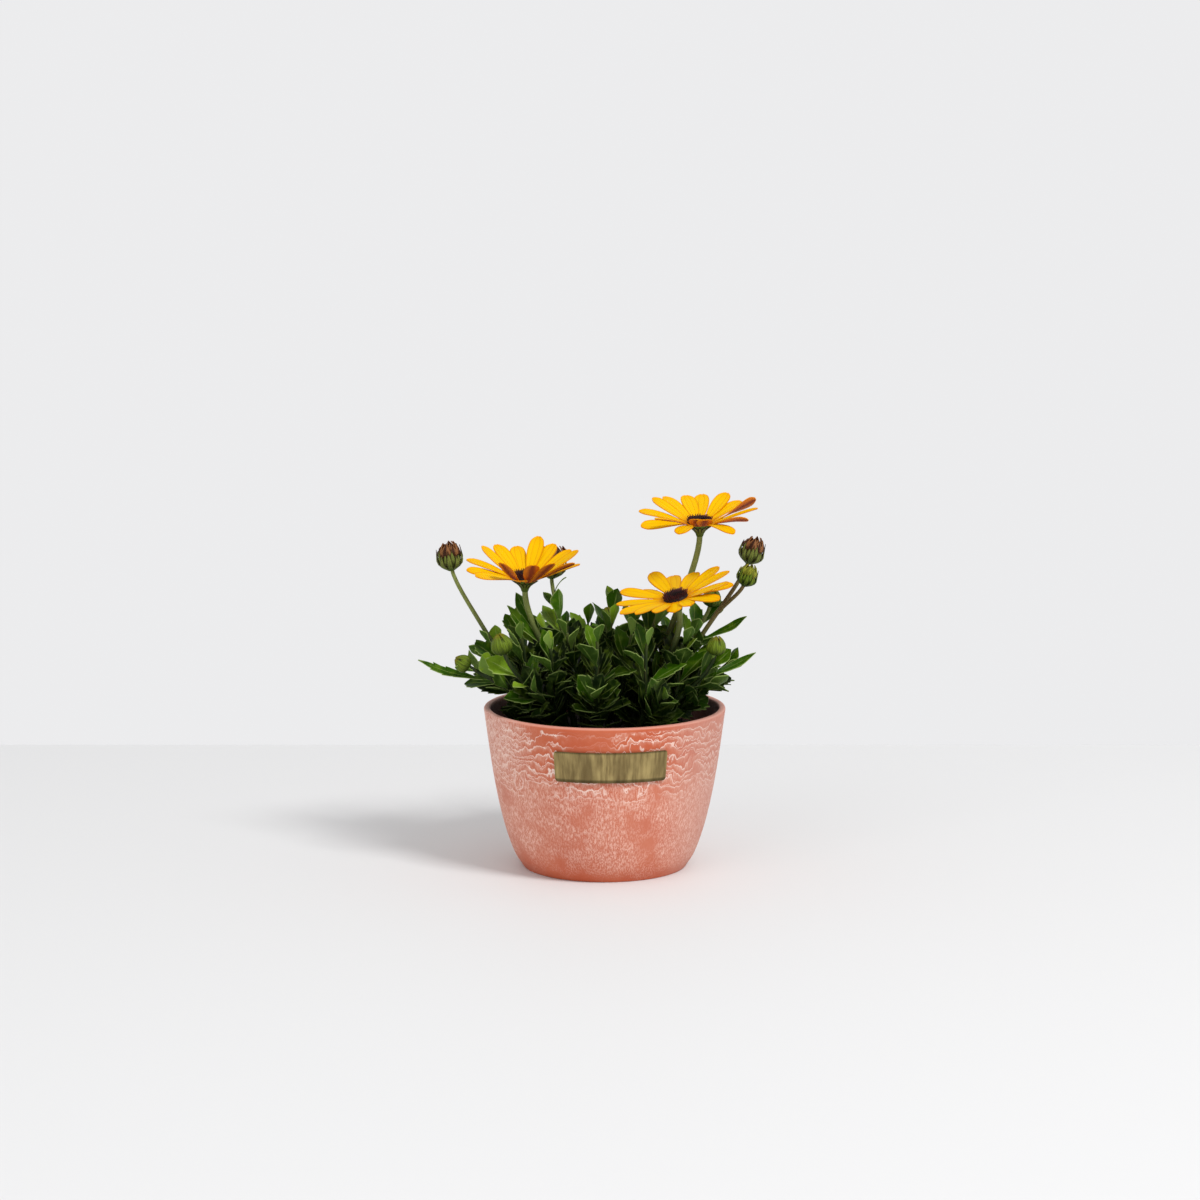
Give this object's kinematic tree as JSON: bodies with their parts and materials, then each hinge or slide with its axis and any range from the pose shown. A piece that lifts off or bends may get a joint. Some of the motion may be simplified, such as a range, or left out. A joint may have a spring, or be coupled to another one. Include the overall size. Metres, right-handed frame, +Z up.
{
  "type": "potted plant",
  "caption": "Potted African daisy: golden flowers with dark discs, green buds and toothed leaves in a round terracotta planter with a bare brass plate.",
  "frame": {"origin": "centre of the pot's flat base, on the surface it stands on", "axes": "+Z up; the name plate and the pictured front face -Y; +X is to the right of the picture"},
  "size_m": [0.2144, 0.15, 0.2297],
  "materials": {
    "ray_petals": "satin",
    "flower_disc": "matte",
    "furled_petals_dark": "matte",
    "furled_petals_pale": "matte",
    "leaves": "satin",
    "pot": "matte",
    "plate": "satin",
    "soil": "matte"
  },
  "bodies": {
    "root": {"bloom_a_rays": "ray_petals", "bloom_b_rays": "ray_petals", "bloom_c_rays": "ray_petals", "bloom_a_disc": "flower_disc", "bloom_b_disc": "flower_disc", "bloom_c_disc": "flower_disc", "bud_d_tips": "furled_petals_dark", "bud_e_tips": "furled_petals_dark", "bud_f_tips": "furled_petals_dark", "bud_g_tips": "furled_petals_pale", "bloom_a_stem": "leaves", "bloom_b_stem": "leaves", "bloom_c_stem": "leaves", "bud_d_stem": "leaves", "bud_e_stem": "leaves", "bud_h_stem": "leaves", "bud_i_stem": "leaves", "bud_j_stem": "leaves", "bud_k_stem": "leaves", "bud_l_stem": "leaves", "buds_f_g_stem": "leaves", "leafy_stem_01": "leaves", "leafy_stem_02": "leaves", "leafy_stem_03": "leaves", "leafy_stem_04": "leaves", "leafy_stem_05": "leaves", "leafy_stem_06": "leaves", "leafy_stem_07": "leaves", "leafy_stem_08": "leaves", "leafy_stem_09": "leaves", "leafy_stem_10": "leaves", "leafy_stem_11": "leaves", "leafy_stem_12": "leaves", "leafy_stem_13": "leaves", "leafy_stem_14": "leaves", "leafy_stem_15": "leaves", "leafy_stem_16": "leaves", "leafy_stem_17": "leaves", "pot": "pot", "name_plate": "plate", "soil": "soil"}
  },
  "joints": []
}
